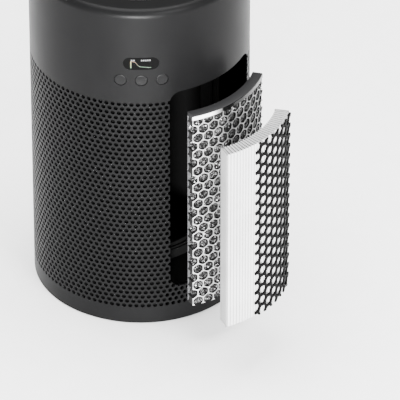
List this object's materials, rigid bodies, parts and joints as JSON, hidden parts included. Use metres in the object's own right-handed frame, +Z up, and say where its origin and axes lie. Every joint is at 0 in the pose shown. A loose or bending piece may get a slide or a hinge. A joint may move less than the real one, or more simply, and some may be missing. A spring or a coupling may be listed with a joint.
{
  "type": "air purifier",
  "caption": "Cylindrical floor air purifier with a perforated dark shell, a pill-shaped display, push buttons and curved filter cartridges that slide out of a front window.",
  "frame": {"origin": "on the floor, at the axis of the round body, on the underside of the base pad", "axes": "+Z up along the body; the display and buttons face -Y; +X to the right of someone who reads the display"},
  "size_m": [0.2576, 0.3054, 0.376],
  "materials": {
    "shell": "satin, fine moulded texture",
    "bezel": "satin",
    "grille": "satin",
    "button": "satin",
    "display": "polished",
    "inner_black": "matt",
    "sleeve": "fine woven mesh",
    "seal": "closed-cell foam",
    "pad": "ribbed rubber",
    "fan_plastic": "satin",
    "motor_can": "brushed",
    "steel": "zinc plated",
    "board": "solder mask",
    "switch": "moulded",
    "inlet": "matt",
    "sensor": "matt",
    "lead": "soft sleeve",
    "carbon_cap": "satin top with a polished edge band",
    "honeycomb": "stiff light paper comb",
    "granules": "broken carbon, glinting",
    "scrim": "thin non-woven",
    "pleats": "white pleated filter paper",
    "end_board": "smooth light board",
    "net": "semi-matt moulded net"
  },
  "bodies": {
    "body": {"outer_shell": "shell", "top_bezel": "bezel", "outlet_grille": "grille", "base_tray": "inner_black", "base_pad": "pad", "base_screws": "steel", "prefilter_sleeve": "sleeve", "chamber_floor": "inner_black", "floor_spacers": "inner_black", "fan_deck": "inner_black", "air_duct": "inner_black", "filter_seat": "inner_black", "seat_seal": "seal", "guide_rails": "inner_black", "fan_housing": "fan_plastic", "motor_bracket": "fan_plastic", "fan_motor": "motor_can", "motor_screws": "steel", "display_lens": "display", "display_module": "switch", "control_board": "board", "board_frame": "inner_black", "board_screws": "steel", "tact_switches": "switch", "power_board": "board", "power_inlet": "inlet", "particle_sensor": "sensor", "fan_lead": "lead", "panel_lead": "lead"},
    "rotor": {"impeller": "fan_plastic", "motor_shaft": "steel", "impeller_nut": "steel"},
    "carbon_filter": {"carbon_cap": "carbon_cap", "carbon_honeycomb": "honeycomb", "carbon_granules": "granules", "carbon_scrim": "scrim"},
    "hepa_filter": {"hepa_pleats": "pleats", "hepa_end_board_left": "end_board", "hepa_end_board_right": "end_board", "prefilter_net": "net"},
    "left_button": {"button_left": "button"},
    "centre_button": {"button_centre": "button"},
    "right_button": {"button_right": "button"}
  },
  "joints": [
    {"name": "carbon_slide", "type": "slide", "parent": "body", "child": "carbon_filter", "axis": [-0.4226, 0.9063, 0], "range_m": [0, 0.074]},
    {"name": "hepa_slide", "type": "slide", "parent": "carbon_filter", "child": "hepa_filter", "axis": [-0.4226, 0.9063, 0], "range_m": [0, 0.036]},
    {"name": "fan_spin", "type": "hinge", "parent": "body", "child": "rotor", "pos_m": [0, 0, 0.3], "axis": [0, 0, 1], "continuous": true},
    {"name": "left_button_press", "type": "slide", "parent": "body", "child": "left_button", "axis": [0.1771, 0.9842, 0], "range_m": [0, 0.0008], "stiffness_N_per_m": 600, "springref_m": -0.0005},
    {"name": "centre_button_press", "type": "slide", "parent": "body", "child": "centre_button", "axis": [-0.0105, 0.9999, 0], "range_m": [0, 0.0008], "stiffness_N_per_m": 600, "springref_m": -0.0005},
    {"name": "right_button_press", "type": "slide", "parent": "body", "child": "right_button", "axis": [-0.1977, 0.9803, 0], "range_m": [0, 0.0008], "stiffness_N_per_m": 600, "springref_m": -0.0005}
  ]
}
